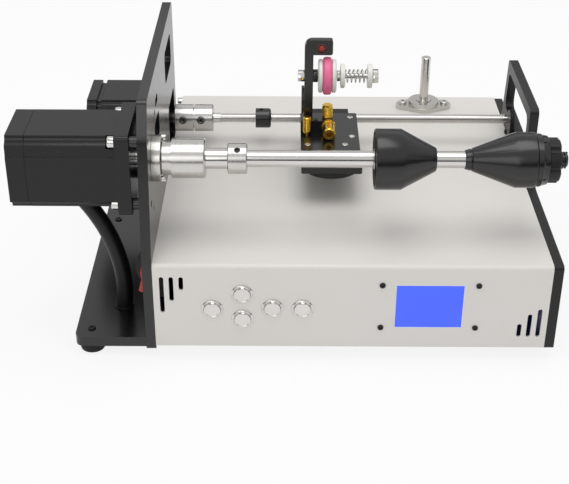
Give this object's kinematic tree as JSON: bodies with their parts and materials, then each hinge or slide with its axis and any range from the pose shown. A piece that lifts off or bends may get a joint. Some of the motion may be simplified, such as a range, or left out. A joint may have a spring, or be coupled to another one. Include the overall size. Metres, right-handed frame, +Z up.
{
  "type": "coil winding machine",
  "caption": "Benchtop coil winding machine: motor-driven spindle with clamping cones, lead-screw wire guide with tension unit, control case with buttons and display.",
  "frame": {"origin": "bottom centre of the whole machine, on the bench top", "axes": "+X along the spindle, away from its motor; +Y from the front panel to the back; +Z up"},
  "size_m": [0.3866, 0.2946, 0.191],
  "materials": {
    "panel_coat": "fine texture powder coat, warm light grey",
    "black_anodised": "black anodised, satin",
    "black_plate": "black powder coat, satin",
    "motor_black": "black coated, satin",
    "turned_steel": "ground and polished",
    "silver_alu": "machined",
    "chrome": "nickel plated",
    "brass": "turned and knurled",
    "black_plastic": "moulded",
    "white_plastic": "smooth",
    "pink_rubber": "soft tyre",
    "rubber": "moulded",
    "red_plastic": "smooth",
    "lcd_blue": "lit display window",
    "galvanised": "plain sheet",
    "circuit": "green board with components",
    "cable_sleeve": "braided sleeve"
  },
  "bodies": {
    "machine": {"case_cover": "panel_coat", "back_panel": "panel_coat", "power_inlet": "black_plastic", "base_plate": "galvanised", "motor_shelf": "black_anodised", "spindle_bearing": "silver_alu", "main_motor_flange": "motor_black", "main_motor_body": "motor_black", "main_motor_cap": "motor_black", "motor_spacers": "black_anodised", "drive_bracket": "black_plate", "drive_motor": "motor_black", "screw_end_bearing": "black_plate", "post_bearing": "silver_alu", "button_sleeves": "chrome", "display_module": "lcd_blue", "switch_housing": "black_plastic", "motor_cable": "cable_sleeve", "cable_glands": "black_plastic", "power_supply": "galvanised", "motor_drivers": "galvanised", "control_board": "circuit", "rubber_feet": "rubber", "bright_screws": "chrome", "black_screws": "black_plate", "side_plate_left": "black_anodised", "side_plate_right": "black_plate"},
    "spindle": {"main_motor_rotor": "turned_steel", "spindle_hub": "silver_alu", "spindle_shaft": "turned_steel", "spindle_collar": "silver_alu", "left_cone": "black_anodised"},
    "clamp_slider": {"clamp_cone": "black_anodised"},
    "clamp_wheel": {"ring_nut": "black_anodised", "clamp_knob": "black_plastic"},
    "screw": {"drive_motor_rotor": "turned_steel", "shaft_coupling": "silver_alu", "lead_screw": "turned_steel", "stop_collar": "black_anodised"},
    "carriage": {"carriage_plate": "black_anodised", "nut_block": "black_plastic", "glide_shoe": "black_plastic", "guide_block": "black_anodised", "guide_bracket": "black_anodised", "wire_nozzle": "brass", "tension_axle": "chrome", "tension_spring": "turned_steel"},
    "wheel": {"guide_wheel": "white_plastic", "wheel_tyre": "pink_rubber"},
    "tension_slider": {"tension_disc": "white_plastic"},
    "tension_wheel": {"tension_nut": "chrome"},
    "pinch": {"pinch_screw": "brass"},
    "thumb": {"thumb_screw": "brass"},
    "rocker": {"power_rocker": "red_plastic"},
    "post": {"spool_post": "turned_steel"},
    "button_1": {"push_button_1": "chrome"},
    "button_2": {"push_button_2": "chrome"},
    "button_3": {"push_button_3": "chrome"},
    "button_4": {"push_button_4": "chrome"},
    "button_5": {"push_button_5": "chrome"}
  },
  "joints": [
    {"name": "spindle_spin", "type": "hinge", "parent": "machine", "child": "spindle", "pos_m": [-0.08265, -0.10115, 0.14], "axis": [1, 0, 0], "continuous": true},
    {"name": "clamp_slide", "type": "slide", "parent": "spindle", "child": "clamp_slider", "axis": [1, 0, 0], "range_m": [-0.019, 0]},
    {"name": "clamp_knob_turn", "type": "hinge", "parent": "clamp_slider", "child": "clamp_wheel", "pos_m": [-0.08265, -0.10115, 0.14], "axis": [1, 0, 0], "range_deg": [-3909.57, 1]},
    {"name": "screw_turn", "type": "hinge", "parent": "machine", "child": "screw", "pos_m": [-0.06295, 0.05085, 0.101], "axis": [1, 0, 0], "range_deg": [-5041, 19981]},
    {"name": "carriage_slide", "type": "slide", "parent": "machine", "child": "carriage", "axis": [1, 0, 0], "range_m": [-0.028, 0.111]},
    {"name": "guide_wheel_spin", "type": "hinge", "parent": "carriage", "child": "wheel", "pos_m": [0.05935, 0.01185, 0.155], "axis": [1, 0, 0], "continuous": true},
    {"name": "tension_slide", "type": "slide", "parent": "carriage", "child": "tension_slider", "axis": [1, 0, 0], "range_m": [-0.004, 0], "deforming": ["tension_spring"]},
    {"name": "tension_nut_turn", "type": "hinge", "parent": "tension_slider", "child": "tension_wheel", "pos_m": [0.05935, 0.01185, 0.155], "axis": [1, 0, 0], "range_deg": [-2058.14, 1]},
    {"name": "pinch_screw_turn", "type": "hinge", "parent": "carriage", "child": "pinch", "pos_m": [0.02915, 0.01185, 0.11], "axis": [0, 0, 1], "continuous": true},
    {"name": "thumb_screw_turn", "type": "hinge", "parent": "carriage", "child": "thumb", "pos_m": [0.01315, 0.00145, 0.11], "axis": [0, 0, 1], "continuous": true},
    {"name": "power_rocker_tilt", "type": "hinge", "parent": "machine", "child": "rocker", "pos_m": [-0.09925, -0.12915, 0.0585], "axis": [0, 1, 0], "range_deg": [-12, 0]},
    {"name": "spool_post_spin", "type": "hinge", "parent": "machine", "child": "post", "pos_m": [0.11775, 0.12235, 0.079], "axis": [0, 0, 1], "continuous": true},
    {"name": "push_button_1_press", "type": "slide", "parent": "machine", "child": "button_1", "axis": [0, 1, 0], "range_m": [0, 0.002], "stiffness_N_per_m": 400, "springref_m": -0.002},
    {"name": "push_button_2_press", "type": "slide", "parent": "machine", "child": "button_2", "axis": [0, 1, 0], "range_m": [0, 0.002], "stiffness_N_per_m": 400, "springref_m": -0.002},
    {"name": "push_button_3_press", "type": "slide", "parent": "machine", "child": "button_3", "axis": [0, 1, 0], "range_m": [0, 0.002], "stiffness_N_per_m": 400, "springref_m": -0.002},
    {"name": "push_button_4_press", "type": "slide", "parent": "machine", "child": "button_4", "axis": [0, 1, 0], "range_m": [0, 0.002], "stiffness_N_per_m": 400, "springref_m": -0.002},
    {"name": "push_button_5_press", "type": "slide", "parent": "machine", "child": "button_5", "axis": [0, 1, 0], "range_m": [0, 0.002], "stiffness_N_per_m": 400, "springref_m": -0.002}
  ],
  "couplings": [
    {"joint": "screw_turn", "follows": "carriage_slide", "rad_per_m": 3141.6},
    {"joint": "clamp_knob_turn", "follows": "clamp_slide", "rad_per_m": 3590.4},
    {"joint": "tension_nut_turn", "follows": "tension_slide", "rad_per_m": 8976}
  ]
}
